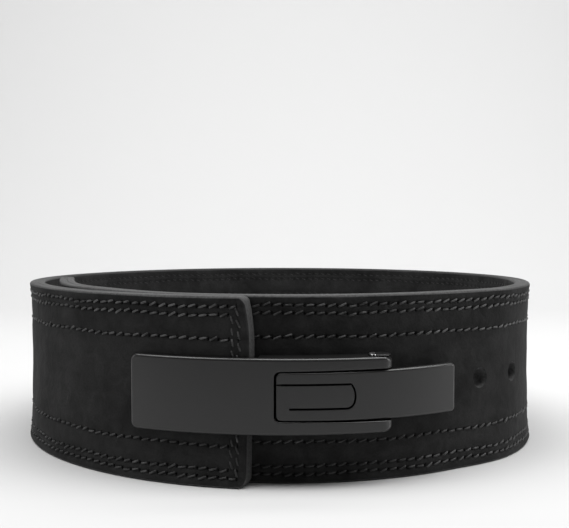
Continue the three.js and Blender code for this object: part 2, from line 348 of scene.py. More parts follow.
def newMaterial(name):
    material = bpy.data.materials.new(name)
    material.use_nodes = True
    tree = material.node_tree
    tree.nodes.clear()
    return material, tree, addNode(tree, "TexCoord").outputs["Object"]


def finishMaterial(tree, settings, links):
    shader = addNode(tree, "BsdfPrincipled", settings, links)
    addNode(tree, "OutputMaterial", {}, {"Surface": shader.outputs["BSDF"]})


def noise(tree, here, size, detail, more={}):
    # Clouds about a size in millimetres across
    settings = {"Scale": 1000 / size, "Detail": detail, **more}
    return addNode(tree, "TexNoise", settings, {"Vector": here}).outputs["Fac"]


def mapped(tree, value, low, high, fromLow=0.0, fromHigh=1.0):
    settings = {"From Min": fromLow, "From Max": fromHigh, "To Min": low, "To Max": high}
    return addNode(tree, "MapRange", settings, {"Value": value}).outputs[0]


def maths(tree, operation, links, settings={}):
    return addNode(tree, "Math", {"operation": operation, **settings}, links).outputs[0]


def scaled(tree, colour, factor):
    return addNode(tree, "VectorMath", {"operation": "SCALE"}, {0: colour, "Scale": factor}).outputs[0]


def axisOf(tree, here, axis):
    return addNode(tree, "SeparateXYZ", {}, {"Vector": here}).outputs[axis]


def ramp(tree, factor, dark, light, darkTo=0.0, lightFrom=1.0):
    node = addNode(tree, "ValToRGB", {}, {"Fac": factor})
    first, second = node.color_ramp.elements
    first.position, first.color = darkTo, linear(dark)
    second.position, second.color = lightFrom, linear(light)
    return node.outputs["Color"]


def bumped(tree, height, strength, depth, under=None):
    # The depth is in millimetres, and under is the bump that this one lies on
    links = {"Height": height, "Normal": under} if under else {"Height": height}
    return addNode(tree, "Bump", {"Strength": strength, "Distance": depth * mm}, links).outputs[0]


def blackSuede():
    # Split cowhide, brushed to a short nap and dyed black: no gloss, a soft grey bloom at a
    # low angle, and cloudy patches where the nap lies another way
    look = {
        "dark": "#131313",
        "light": "#232323",
        "patchSize": 26.0,
        "patchShare": 0.6,  # smudges make up the rest
        "smudgeSize": 7.0,
        "smudgeDepth": 0.8,
        "fibreSize": 1.1,  # real nap is finer, and this is as fine as shows in the render
        "fibreShade": 0.25,
        "napDepth": 0.12,
        "inPit": 0.3,  # share of its colour that the leather keeps in a stitch's pit: painted shade
    }
    material, tree, here = newMaterial("brushed black suede")
    patch = noise(tree, here, look["patchSize"], 3.0)
    smudge = noise(tree, here, look["smudgeSize"], 4.0, {"Distortion": 0.6})
    fibre = noise(tree, here, look["fibreSize"], 3.0, {"Roughness": 0.7})
    fine = maths(tree, "MULTIPLY", {0: smudge}, {1: 1 - look["patchShare"]})
    clouds = maths(tree, "MULTIPLY_ADD", {0: patch, 2: fine}, {1: look["patchShare"]})
    tone = ramp(tree, clouds, look["dark"], look["light"], 0.38, 0.62)
    speck = mapped(tree, fibre, 1 - look["fibreShade"], 1 + look["fibreShade"], 0.3, 0.7)
    # Painted shade: the colour is darkened in the stitch pits and the seam grooves, where shade falls
    paintedSeamShade = addNode(tree, "Attribute", {"attribute_name": "paintedSeamShade"}).outputs["Fac"]
    dimmed = scaled(tree, scaled(tree, tone, speck), mapped(tree, paintedSeamShade, 1.0, look["inPit"]))
    nap = bumped(tree, fibre, 0.7, look["napDepth"])
    pressed = bumped(tree, smudge, 0.6, look["smudgeDepth"], nap)
    sheen = {"Sheen Weight": 0.03, "Sheen Roughness": 0.45, "Sheen Tint": linear("#9a9a9a")}
    settings = {"Roughness": 0.95, "Specular IOR Level": 0.25, **sheen}
    finishMaterial(tree, settings, {"Base Color": dimmed, "Normal": pressed})
    return material


def dyedEdge(name, dark, light, paintedBackShade=1.0):
    # The cut through the leather, sanded and rubbed with grey edge dye: smoother and paler than
    # the nap, with fine lines along the cut where the fibres lie in layers. Towards the back of
    # the loop the colour is darkened by the share that the last argument gives: painted shade
    look = {"run": 40.0, "layer": 1.4, "grain": 1.3, "lineDepth": 0.15, "backShadeFrom": -30.0, "backShadeTo": 60.0}
    material, tree, here = newMaterial(name)
    lay = addNode(tree, "TexCoord").outputs["UV"]
    scale = (1000 / look["run"], 1000 / look["layer"], 1.0)
    stretched = addNode(tree, "Mapping", {"Scale": scale}, {"Vector": lay}).outputs[0]
    lines = addNode(tree, "TexNoise", {"Scale": 1.0, "Detail": 3.0}, {"Vector": stretched}).outputs["Fac"]
    both = maths(tree, "ADD", {0: lines, 1: noise(tree, here, look["grain"], 2.0)})
    colour = ramp(tree, mapped(tree, both, 0.0, 1.0, 0.75, 1.25), dark, light)
    # painted shade: the colour grows darker from the front of the loop to the back
    paintedBackFactor = mapped(tree, axisOf(tree, here, "Y"), 1.0, paintedBackShade, look["backShadeFrom"] * mm, look["backShadeTo"] * mm)
    links = {"Base Color": scaled(tree, colour, paintedBackFactor), "Normal": bumped(tree, both, 0.5, look["lineDepth"])}
    finishMaterial(tree, {"Roughness": 0.75, "Specular IOR Level": 0.3}, links)
    return material


def bondedThread(name, dark, light, roughness):
    # Thick bonded nylon thread, twisted from plies: a dull grey shine on each stitch, with dust
    # between the stitches, stretches that are rubbed paler or darker, and painted shade on low seams
    look = {
        "dustSize": 4.0,
        "rubSize": 34.0,
        "rub": (-0.16, 0.1),
        "paintedLowShade": -0.12,
        "paintedLowShadeBelow": (25.0, 60.0),  # all of it under the first height, none over the second
    }
    material, tree, here = newMaterial(name)
    dust = noise(tree, here, look["dustSize"], 2.0)
    rubbed = mapped(tree, noise(tree, here, look["rubSize"], 1.0), *look["rub"], 0.35, 0.65)
    full, none = look["paintedLowShadeBelow"]
    # painted shade: the thread grows darker towards the bottom of the belt
    paintedLowShade = mapped(tree, axisOf(tree, here, "Z"), look["paintedLowShade"], 0.0, full * mm, none * mm)
    rubbedAndShaded = maths(tree, "ADD", {0: rubbed, 1: paintedLowShade})
    colour = ramp(tree, maths(tree, "ADD", {0: dust, 1: rubbedAndShaded}), dark, light, 0.35, 0.65)
    finishMaterial(tree, {"Roughness": roughness, "Specular IOR Level": 0.5}, {"Base Color": colour})
    return material


def powderCoat(name, shade, roughness, chipped=False):
    # Pressed steel with a baked satin powder coat: an even grey black, with the faint orange
    # peel of the powder where it melted, and a thin clear skin that lights up along the edges.
    # Where it is chipped, bare steel glints left of the pin
    look = {
        "peelSize": 1.3,
        "peelDepth": 0.02,
        "unevenSize": 30.0,
        "unevenShade": 0.06,
        "unevenGloss": 0.04,
        "chipSize": 1.6,
        "chipDepth": 0.5,
        "chipAbove": 0.47,  # level of the noise, so that about half of the rim is chipped
        "chipsTo": -2.5,  # from the pin's middle
        "bareSteel": "#e6e6e6",
    }
    material, tree, here = newMaterial(name)
    uneven = noise(tree, here, look["unevenSize"], 2.0)
    tint = mapped(tree, uneven, 1 - look["unevenShade"], 1 + look["unevenShade"])
    settings = {"operation": "SCALE", 0: linear(shade)[:3]}
    shaded = addNode(tree, "VectorMath", settings, {"Scale": tint}).outputs[0]
    links = {
        "Base Color": shaded,
        "Roughness": mapped(tree, uneven, roughness - look["unevenGloss"], roughness + look["unevenGloss"]),
        "Normal": bumped(tree, noise(tree, here, look["peelSize"], 2.0), 0.5, look["peelDepth"]),
    }
    if chipped:
        bare = noise(tree, here, look["chipSize"], 1.0)
        chipsTo = frame["joints"][0]["pos_m"][0] + look["chipsTo"] * mm
        atLeft = maths(tree, "LESS_THAN", {0: axisOf(tree, here, "X")}, {1: chipsTo})
        chip = maths(tree, "GREATER_THAN", {0: bare}, {1: look["chipAbove"]})
        steel = maths(tree, "MULTIPLY", {0: chip, 1: atLeft})
        settings = {"data_type": "RGBA", 7: linear(look["bareSteel"])}
        links["Base Color"] = addNode(tree, "Mix", settings, {0: steel, 6: shaded}).outputs[2]
        links["Metallic"] = steel
        links["Normal"] = bumped(tree, bare, 1.0, look["chipDepth"], links["Normal"])
    finishMaterial(tree, {"Specular IOR Level": 0.2, "Coat Weight": 0.65, "Coat Roughness": 0.27}, links)
    return material


# Strap

strap = {
    "edgeRound": 1.6,
    "tipRound": 1.3,
    "corners": (5.0, 5.0, 5.4, 3.4),  # tucked end low and high, outer end low and high
    "rowsFromEdge": (5.2, 9.4, 22.0),  # rows of stitching along both long edges
    "endRows": (5.8, 9.6),  # and across both ends
    "pitch": 5.8,
    "pitHalf": 0.8,  # the needle leaves a pit
    "pitRise": (0.6, 1.3),
    "pitDepth": 1.3,
    "pitFade": 0.2,  # it is shallower by this share at each millimetre from the seam
    "innerPits": 0.5,  # those on the inner face are shallower by this share
    "grooveDepth": 0.45,
    "grooveHalf": 1.3,
    "grooveShade": 0.45,  # painted shade: grooves are darkened by this share of what pits are
    # painted shade on the inner face is this share of that on the outer one
    "innerShade": 0.3,
    "plyGroove": 0.35,  # where the two layers of leather meet in the cut edge
    "swell": 0.16,  # the leather isn't quite flat
    "swells": 26,
    "swellLengths": (9, 45),
    "flatFor": 4.0,  # near its two ends it is
    "tipSteps": (0, 0.15, 0.4, 0.8, 1.3, 2.0, 2.9, 3.9),  # mesh sections, from either end
    "outerRows": (2.9, 13.5, 17.0, 28.0, 34.0, 42.0),  # mesh rows between the seams
    "innerRows": (17.0, 34.0),
}

needleCount = round((strapLength - 2 * strap["endRows"][0]) / strap["pitch"]) + 1
needleWays = np.linspace(strap["endRows"][0], strapLength - strap["endRows"][0], needleCount)


def seamHeights():
    low = list(strap["rowsFromEdge"])
    return low + [loop["height"] - z for z in low]


def swellWaves():
    draw = np.random.RandomState(7)
    count, longest = strap["swells"], strap["swellLengths"][1]
    lengths = draw.uniform(*strap["swellLengths"], count)
    turns = draw.uniform(0, 2 * math.pi, count)
    return np.cos(turns) / lengths, np.sin(turns) / lengths, draw.uniform(0, 1, count), lengths / longest


waves = swellWaves()


def seamPress(way, height):
    # 1 in the middle of a seam and 0 away from it
    press = np.zeros(np.broadcast(way, height).shape)
    for z in seamHeights():
        press = np.maximum(press, np.exp(-(((height - z) / strap["grooveHalf"]) ** 2)))
    for setback in strap["endRows"]:
        for place in (setback, strapLength - setback):
            press = np.maximum(press, np.exp(-(((way - place) / strap["grooveHalf"]) ** 2)))
    return press


def leatherSink(way, height, side):
    # How far a face lies under its plain place: slow swells, and a groove along each seam
    along, up, phase, size = waves
    way, height = np.broadcast_arrays(np.asarray(way, float), np.asarray(height, float))
    turns = way[..., None] * along + height[..., None] * up + phase + 0.37 * side
    sink = strap["swell"] * (np.sin(2 * math.pi * turns) * size).sum(-1) / (strap["swells"] / 10)
    return sink + strap["grooveDepth"] * seamPress(way, height)


def wayStations():
    tip = np.array(strap["tipSteps"])
    half = strap["pitHalf"]
    needle = np.concatenate([[h - half, h, h + half] for h in needleWays])
    between = (needleWays[:-1] + needleWays[1:]) / 2
    ways = np.sort(np.concatenate([tip, strapLength - tip, needle, between]))
    return ways, np.isin(ways, needleWays)


def faceHeights(offsets, plain):
    # Heights of the mesh rows on a face: offsets round each seam, and plain rows between
    lower = [strap["edgeRound"]] + [z + d for z in strap["rowsFromEdge"] for d in offsets]
    lower = sorted(lower + list(plain))
    return lower + [loop["height"] / 2] + [loop["height"] - z for z in reversed(lower)]


def profilePoints():
    # Once round the section, up the outer face and down the inner one: depth, height, face
    near, far = strap["pitRise"]
    outerHeights = faceHeights((-far, -near, 0, near, far), strap["outerRows"])
    innerHeights = faceHeights((-far, 0, far), strap["innerRows"])
    thick, groove = loop["thickness"], strap["plyGroove"]
    r = strap["edgeRound"]
    arc = [(r * (1 - math.cos(t)), r * (1 - math.sin(t))) for t in quarterTurns(5)[1:5]]
    ply = [(thick / 2 - groove, 0), (thick / 2, groove), (thick / 2 + groove, 0)]
    edge = arc + [(r, 0)] + ply + [(thick - r, 0)] + [(thick - d, h) for d, h in reversed(arc)]
    outer = [(0, z, "outer") for z in outerHeights]
    top = [(d, loop["height"] - h, "edge") for d, h in edge]
    inner = [(thick, z, "inner") for z in reversed(innerHeights)]
    bottom = [(thick - d, h, "edge") for d, h in edge]
    return outer + top + inner + bottom


def quarterInset(distance, radius):
    # How far a rounded corner draws in, at a distance from the end
    reach = np.clip(radius - distance, 0, radius)
    return radius - np.sqrt(radius**2 - reach**2)


def capFaces(profile, base):
    # The faces over one end, between the rows of the inner face and those of the outer one
    outer = [k for k, p in enumerate(profile) if p[2] == "outer"]
    inner = [k for k, p in enumerate(profile) if p[2] == "inner"][::-1]
    heights = [profile[k][1] for k in outer]
    faces = []
    for low, high in zip(inner, inner[1:]):
        between = [k for k, z in zip(outer, heights) if profile[low][1] <= z <= profile[high][1]]
        faces.append([low] + between + [high])
    faces.append(list(range(outer[-1], inner[-1] + 1)))
    faces.append(list(range(inner[0], len(profile))) + [0])
    return [[base + k for k in face] for face in faces]


def addStrap(suede, edgeDye, holeWall):
    ways, onNeedle = wayStations()
    profile = profilePoints()
    depth, height, kind = (np.array(column) for column in zip(*profile))
    way = ways[:, None]
    fromTucked, fromOuter = way, strapLength - way
    corners = strap["corners"]
    low = quarterInset(fromTucked, corners[0]) + quarterInset(fromOuter, corners[2])
    high = quarterInset(fromTucked, corners[1]) + quarterInset(fromOuter, corners[3])
    fromTip = np.minimum(fromTucked, fromOuter)
    inset = quarterInset(fromTip, strap["tipRound"])
    thick = loop["thickness"]
    z = low + height * (loop["height"] - low - high) / loop["height"]
    deep = np.clip(depth, inset, thick - inset)
    near = strap["pitRise"][0]
    fromSeam = np.abs(height[:, None] - np.array(seamHeights())).min(1)
    inPit = np.where(fromSeam < near + close, 1 - strap["pitFade"] * fromSeam, 0)
    pitShare = inPit[None, :] * onNeedle[:, None]
    flat = np.clip(fromTip / strap["flatFor"], 0, 1)
    outerPits, innerPits = strap["pitDepth"] * pitShare, strap["innerPits"] * strap["pitDepth"] * pitShare
    deep = deep + (kind == "outer") * flat * (leatherSink(way, z, 0) + outerPits)
    deep = deep - (kind == "inner") * flat * (leatherSink(way, z, 1) + innerPits)
    points = onStrap(way, z, deep).reshape(-1, 3)
    size = len(profile)
    count = len(ways)
    station, spot = np.meshgrid(np.arange(count - 1), np.arange(size), indexing="ij")
    after = (spot + 1) % size
    here, there = station * size, (station + 1) * size
    quads = np.stack([here + spot, there + spot, there + after, here + after], axis=-1).reshape(-1, 4)
    pale = (kind[spot] == "edge") & (kind[after] == "edge")
    faces = quads.tolist()
    slots = list(pale.reshape(-1).astype(int))
    caps = [face[::-1] for face in capFaces(profile, 0)] + capFaces(profile, (count - 1) * size)
    faces += caps
    slots += [1] * len(caps)
    obj = meshFromArrays("suede_strap", points, faces, slots)
    for material in (suede, edgeDye, holeWall):
        obj.data.materials.append(material)
    # Painted shade in the seam grooves and needle pits, fainter on the inner face and none on the cut
    # edges, kept in an attribute for the suede's colour
    shade = np.clip(strap["grooveShade"] * seamPress(way, z) + pitShare, 0, 1) * (kind != "edge")
    shade = shade * np.where(kind == "inner", strap["innerShade"], 1.0)
    paintedSeamShade = obj.data.attributes.new("paintedSeamShade", "FLOAT", "POINT")
    paintedSeamShade.data.foreach_set("value", shade.reshape(-1).astype(np.float32))
    layOut(obj, ways, profile, size)
    combine(obj, "DIFFERENCE", [punches()])
    return smoothShade(obj, 50)


def layOut(obj, ways, profile, size):
    # The UV map holds the way and the length round the section, in metres
    steps = [math.dist(profile[k][:2], profile[k - 1][:2]) for k in range(1, size)]
    girth = np.concatenate([[0], np.cumsum(steps)])
    uv = obj.data.uv_layers.new(name="lay")
    corners = np.zeros(len(obj.data.loops), int)
    obj.data.loops.foreach_get("vertex_index", corners)
    values = np.stack([ways[corners // size], girth[corners % size]], axis=-1) * mm
    uv.data.foreach_set("uv", values.reshape(-1))


holes = {
    "pitch": 33.5,
    "firstFree": 41.9,  # angle of the first hole right of the buckle
    "leftOfIt": 2,  # the buckle's screws go through these
    "rightOfIt": 1,
    "freeRise": 1.2,  # the free holes lie a little above the buckle's middle
    "tipSetback": 20.0,  # first hole of the outer end, from its cut
    "inTip": 2,
    "radius": 4.9,
    "mouth": ((1.1, -0.2), (0.33, 0.66), (0.0, 1.76)),  # wider by the first, this far under a face
    "punchPast": (3.0, 4.0),  # the punch goes on past the inner and the outer face
    "punchEnd": 1.43,
}


def holeAngles():
    step = math.degrees(holes["pitch"] / loop["radius"])
    single = [holes["firstFree"] + k * step for k in range(-holes["leftOfIt"], holes["rightOfIt"] + 1)]
    outside = loop["radius"] + loop["layerStep"]
    backs = [holes["tipSetback"] + k * holes["pitch"] for k in range(holes["inTip"])]
    return single, [loop["outerTip"] - 360 - math.degrees(b / outside) for b in backs]


screwAngles = holeAngles()[0][: holes["leftOfIt"]]


def pointing(way, place):
    # Stands a shape that is made along Z on a place in metres, so that it points that way
    up = Vector((0, 0, 1))
    axes = Matrix((up.cross(way), up, way)).transposed().to_4x4()
    return Matrix.Translation(place) @ axes @ Matrix.Scale(mm, 4)


def radialMatrix(angle, above=0.0):
    turn = math.radians(angle)
    outward = Vector((math.sin(turn), -math.cos(turn), 0))
    return pointing(outward, Vector((*loop["centre"], loop["middle"] + above)) * mm)


def punches():
    single, inTip = holeAngles()
    thick = loop["thickness"]
    between = loop["radius"] + (loop["layerStep"] - thick) / 2
    radius, mouth = holes["radius"], holes["mouth"]
    under, over = holes["punchPast"]
    made = []
    for angle in single + inTip:
        overlapped = angle in inTip
        face = loop["radius"] + loop["layerStep"] if overlapped else float(faceRadius(angle))
        low = face - thick
        start = between if overlapped else low - under
        profile = [(radius + mouth[0][0], start)]
        profile += [(radius + wide, low + deep) for wide, deep in mouth]
        profile += [(radius + wide, face - deep) for wide, deep in reversed(mouth)]
        profile.append((radius + holes["punchEnd"], face + over))
        free = angle >= holes["firstFree"]
        made.append(turnedSolid("punch", profile, 36, radialMatrix(angle, holes["freeRise"] * free)))
    for punch in made:
        punch.data.polygons.foreach_set("material_index", [2] * len(punch.data.polygons))
    return combine(made[0], "UNION", made[1:])


# Stitches

stitch = {
    "thread": 0.58,  # radius
    "slant": 1.6,  # a stitch ends this much higher than it starts
    "uneven": 0.4,  # and both ends lie off by about this much
    "lift": 0.12,
    "innerLift": -0.3,  # worn into the leather on the inside
    "dive": 1.2,  # how deep its two ends go
    "arch": 4,  # the higher, the straighter it lies between them
    "endGap": 0.55,
    "sides": 8,
    "rings": 8,
    "twist": 3.0,
    "plies": 0.14,
}


def seams():
    # Each stitch as its start and end, way and height
    starts, ends = [], []
    pairs = np.stack([needleWays[:-1], needleWays[1:]], axis=-1)
    for row, z in enumerate(seamHeights()):
        inward = min(row % len(strap["rowsFromEdge"]), 1)
        used = pairs[inward : len(pairs) - inward]
        starts += [(a, z) for a, b in used]
        ends += [(b, z) for a, b in used]
    for k, setback in enumerate(strap["endRows"]):
        low = strap["rowsFromEdge"][k]
        high = loop["height"] - low
        heights = np.linspace(low, high, round((high - low) / strap["pitch"]) + 1)
        for way in (setback, strapLength - setback):
            starts += [(way, z) for z in heights[:-1]]
            ends += [(way, z) for z in heights[1:]]
    return np.array(starts), np.array(ends)


def threadFaces(count):
    sides, rings = stitch["sides"], stitch["rings"]
    one = []
    for r in range(rings - 1):
        for k in range(sides):
            a, b = r * sides + k, r * sides + (k + 1) % sides
            one.append((a, b, b + sides, a + sides))
    one.append(tuple(reversed(range(sides))))
    one.append(tuple(range((rings - 1) * sides, rings * sides)))
    return [[sides * rings * n + k for k in face] for n in range(count) for face in one]


def unit(vectors):
    return vectors / np.linalg.norm(vectors, axis=-1, keepdims=True)


def addThread(name, side, material):
    # side 0 is the outer face and 1 the inner one
    starts, ends = seams()
    draw = np.random.RandomState(11 + side)
    off = draw.normal(0, stitch["uneven"], (len(starts), 2))
    along = ends - starts
    length = np.linalg.norm(along, axis=1, keepdims=True)
    across = np.stack([-along[:, 1], along[:, 0]], axis=-1) / length
    share = np.linspace(0, 1, stitch["rings"])
    inset = stitch["endGap"] / length
    travel = inset + (1 - 2 * inset) * share[None, :]
    middle = starts[:, None, :] + along[:, None, :] * travel[..., None]
    shift = (share - 0.5)[None, :] * stitch["slant"] + off[:, :1] * (1 - share) + off[:, 1:] * share
    middle = middle + across[:, None, :] * shift[..., None]
    way, height = middle[..., 0], middle[..., 1]
    arch = 1 - np.abs(2 * share - 1) ** stitch["arch"]
    raised = stitch["innerLift"] if side else stitch["lift"]
    lift = -stitch["dive"] + (stitch["dive"] + raised) * arch
    sink = leatherSink(way, height, side) - lift[None, :]
    sign = -1 if side else 1
    depth = loop["thickness"] - sink if side else sink
    centre = onStrap(way, height, depth)
    outside = unit(onStrap(way, height, depth - sign) - centre)
    tangent = unit(np.gradient(centre, axis=1))
    sideways = unit(np.cross(tangent, outside))
    upright = np.cross(sideways, tangent)
    turns = np.linspace(0, 2 * math.pi, stitch["sides"], endpoint=False)
    ply = 1 + stitch["plies"] * np.cos(2 * turns[None, :] - 2 * math.pi * stitch["twist"] * share[:, None])
    radius = stitch["thread"] * mm * ply
    ring = (
        centre[:, :, None, :]
        + (radius * np.cos(turns))[None, :, :, None] * upright[:, :, None, :]
        + (radius * np.sin(turns))[None, :, :, None] * sideways[:, :, None, :]
    )
    obj = meshFromArrays(name, ring.reshape(-1, 3), threadFaces(len(starts)))
    obj.data.polygons.foreach_set("use_smooth", [True] * len(obj.data.polygons))
    return dress(obj, material)


# Buckle. Its plates are made flat, with x along the plate, -y out of the loop and z up, their
# edges are rounded, and then they are bent round the loop.

buckle = {
    "gap": 0.4,
    "thickness": 3.2,
    "width": 40.2,
    "tip": -28.8,
    "tipDrop": 0.7,  # its lower corner hangs this much lower at the tip
    "corner": 4.0,
    "slotEnd": -2.4,
    "slotWidth": 26.0,
    "slotSpread": 0.8,  # each edge of the slot leans out by this much at the pin
    "slotCorner": 3.0,
    "cheekStart": -5.2,
    "cheekThickness": 3.0,  # the folded edges that carry the pin
    "pinAngle": 16.5,
    "pinRadius": 2.25,
    "pinClearance": 0.3,
    "lobeRadius": 6.8,
    "edgeRound": 1.7,
    "lobeRound": 2.8,
    "lobeBlend": 40.0,  # degrees in which the lobe's rounding changes
    "slotShare": 0.4,  # the slot's edges are rounded by this share
    "prongRadius": 2.6,
    "prongLength": 8.5,
    "prongStraight": 0.55,  # share of its length before it tapers
    "bendStep": 3.5,
}
leverBack = loop["radius"] + loop["layerStep"] + buckle["gap"]
leverFace = leverBack + buckle["thickness"]
pinOut = leverFace - buckle["lobeRadius"]
middle = loop["middle"]


def span(width):
    return middle - width / 2, middle + width / 2


def flatX(angle):
    return math.radians(angle) * leverFace


def frontPlace(a, b, c):
    return (a, -c, b)  # an outline drawn as seen from the front, c out of the loop


def topPlace(a, b, c):
    return (a, -b, c)  # an outline drawn as seen from above, c up


def boreForPin(obj, low, high):
    radius = buckle["pinRadius"] + buckle["pinClearance"]
    place = Matrix.Translation((flatX(buckle["pinAngle"]), -pinOut, 0))
    profile = [(radius, low - beyond), (radius, high + beyond)]
    combine(obj, "DIFFERENCE", [turnedSolid("bore", profile, 40, place)])


def bend(obj, radiusOf):
    # radiusOf(angle, distance from the loop's middle) gives the distance after pressing
    bm = bmesh.new()
    bm.from_mesh(obj.data)
    xs = [v.co.x for v in bm.verts]
    left, length = min(xs), max(xs) - min(xs)
    cuts = int(length / buckle["bendStep"])
    for k in range(1, cuts):
        at = left + length * k / cuts
        everything = bm.verts[:] + bm.edges[:] + bm.faces[:]
        bmesh.ops.bisect_plane(bm, geom=everything, dist=1e-4, plane_co=(at, 0, 0), plane_no=(1, 0, 0))
    for vert in bm.verts:
        angle = math.degrees(vert.co.x / leverFace)
        radius = radiusOf(angle, -vert.co.y)
        vert.co = Vector(inPart(angle, radius, vert.co.z).tolist())
    bm.to_mesh(obj.data)
    bm.free()
    return smoothShade(obj)


def addLobe(low, high, lowIsOuter):
    # The eye round the pin, whose outer rim is rounded more where it is free of the plate
    radius, sides, blend = buckle["lobeRadius"], 48, buckle["lobeBlend"]
    pin = flatX(buckle["pinAngle"])
    usual = buckle["edgeRound"] / buckle["lobeRound"]
    outline, outer = [], []
    for k in range(sides):
        turn = 2 * math.pi * k / sides
        degrees = math.degrees(turn)
        outline.append((pin + radius * math.sin(turn), pinOut + radius * math.cos(turn)))
        free = smoothstep(degrees, 0, blend) * (1 - smoothstep(degrees, 180 - blend, 180))
        outer.append(usual * (1 - free) + free)
    inner = [usual * buckle["slotShare"]] * sides
    stations = roundStations(low, high, buckle["lobeRound"], buckle["lobeRound"])
    shares = [outer, inner] if lowIsOuter else [inner, outer]
    return steppedPrism("lobe", outline, stations, topPlace, shares=shares)


def addLever(paint):
    low, high = span(buckle["width"])
    slotLow, slotHigh = span(buckle["slotWidth"])
    tip, pin, slot = (flatX(buckle[name]) for name in ("tip", "pinAngle", "slotEnd"))
    pinLow, pinHigh = slotLow - buckle["slotSpread"], slotHigh + buckle["slotSpread"]
    corner, slotCorner = buckle["corner"], buckle["slotCorner"]
    corners = [(pin, high, 0), (tip, high, corner), (tip, low - buckle["tipDrop"], corner), (pin, low, 0)]
    corners += [(pin, pinLow, 0), (slot, slotLow, slotCorner)]
    corners += [(slot, slotHigh, slotCorner), (pin, pinHigh, 0)]
    outline = filleted(corners)

    def atPin(start, end):
        return min(start.x, end.x) > pin - close

    stations = roundStations(leverBack, leverFace, 0, buckle["edgeRound"])
    inSlot = [p.x > slot - close and abs(p.y - middle) < pinHigh - middle + close for p in outline]
    share = [buckle["slotShare"] if slotted else 1.0 for slotted in inSlot]
    plate = steppedPrism("lever", outline, stations, frontPlace, atPin, [share, share])
    foot = pinOut - buckle["lobeRadius"]
    start = flatX(buckle["cheekStart"])
    inFace = leverFace - buckle["edgeRound"] - close
    side = [(start, foot), (pin, foot), (pin, inFace), (start, inFace)]
    wall = buckle["cheekThickness"]
    cheeks = [prism("cheek", side, edge, edge + wall, topPlace) for edge in (low, high - wall)]
    combine(plate, "UNION", cheeks + [addLobe(low, pinLow, True), addLobe(pinHigh, high, False)])
    boreForPin(plate, low, high)
    bend(plate, lambda angle, distance: distance)
    prongs = [addProng(angle) for angle in holeAngles()[1]]
    return dress(joined("steel_lever", [plate] + prongs), paint)


def addProng(angle):
    # It points square to the line from the hinge, so that it slides straight out of its hole
    hinge = Vector(inPart(buckle["pinAngle"], pinOut, middle).tolist())
    inHole = loop["radius"] + loop["layerStep"] - loop["thickness"] / 2
    hole = Vector(inPart(angle, inHole, middle).tolist())
    line = (hole - hinge).normalized()
    outward = Vector((-line.y, line.x, 0))
    root = hole + outward * (loop["thickness"] / 2 + buckle["gap"] + buckle["thickness"] / 2) * mm
    radius, straight = buckle["prongRadius"], buckle["prongStraight"]
    length = buckle["prongLength"] + buckle["thickness"] / 2
    profile = [(radius, 0), (radius, length * straight)]
    for turn in quarterTurns(6)[1:6]:
        profile.append((radius * math.cos(turn), length * (straight + (1 - straight) * math.sin(turn))))
    return smoothShade(turnedSolid("prong", profile, 24, pointing(-outward, root)))


def joined(name, objects):
    bpy.ops.object.select_all(action="DESELECT")
    for obj in objects:
        obj.select_set(True)
    bpy.context.view_layer.objects.active = objects[0]
    bpy.ops.object.join()
    objects[0].name = name
    objects[0].data.name = name
    return objects[0]


tongue = {
    "width": 24.9,
    "spread": 1.2,  # each long edge leans out by this much at the right end
    "thickness": 3.4,
    "start": -2.07,
    "end": 32.35,
    "corner": 2.6,
    "drop": 6.0,  # its face falls towards the leather
    "dropFrom": 8.0,
    "dropReach": 34.0,
    "legThickness": 2.6,
    "legInset": (2.9, 2.6, 0.2),  # left leg, right leg and knuckle, from the plate's long edges
    "legStart": 0.1,
    "knuckleHalf": 1.9,
    "knuckleBelowPin": 2.0,
    "sunk": 1.0,  # how far the parts under the plate reach into it
    "edgeRound": 1.9,
    "backRound": 0.5,
    "tabHeight": 11.8,
    "tabFrom": -14.0,  # the slit's upper line runs off the plate
    "tabStart": 0.5,  # and its lower one starts here
    "tabEnd": 33.0,
    "tabBulge": 2.4,
    "tabSweep": 1.72,  # the tab's round end, in halves, before its lower corner
    "tabCorner": 2.4,
    "tabSharp": 0.2,  # how far past its end that corner is drawn
    "slit": 0.9,
    # The slit's broken edges at the face: rise and inset
    "slitEdge": ((-0.4, 0), (-0.12, -0.09), (0.02, -0.3), (1, -0.35)),
    "shoulderRadius": 7.5,
    "bossRadius": 4.5,
    "bossDepth": 6.0,
}


def tongueFace(angle):
    fall = smoothstep(angle, tongue["dropFrom"], tongue["dropFrom"] + tongue["dropReach"])
    return leverFace - tongue["drop"] * float(fall)


def tabOutline():
    # The slit as a ribbon round three sides of the tab
    half = (tongue["tabHeight"] + tongue["slit"]) / 2
    end, bulge = tongue["tabEnd"], tongue["tabBulge"]
    radius = (half**2 + bulge**2) / (2 * bulge)
    centre = end + bulge - radius
    widest = math.asin(half / radius)
    path = [Vector((tongue["tabFrom"], half)), Vector((end, half))]
    steps = 12
    for k in range(1, steps):
        turn = widest - tongue["tabSweep"] * widest * k / steps
        path.append(Vector((centre + radius * math.cos(turn), radius * math.sin(turn))))
    last = path[-1]
    sharp = Vector((end + tongue["tabSharp"], -half))
    after = Vector((end - tongue["tabCorner"], -half))
    for k in range(1, 6):
        share = k / 5
        path.append(last * (1 - share) ** 2 + sharp * 2 * share * (1 - share) + after * share**2)
    path.append(Vector((tongue["tabStart"], -half)))
    left, right = [], []
    for k, spot in enumerate(path):
        way = (path[min(k + 1, len(path) - 1)] - path[max(k - 1, 0)]).normalized()
        off = Vector((-way.y, way.x)) * tongue["slit"] / 2
        left.append(spot + off)
        right.append(spot - off)
    return [(p.x, p.y + middle) for p in left + right[::-1]]


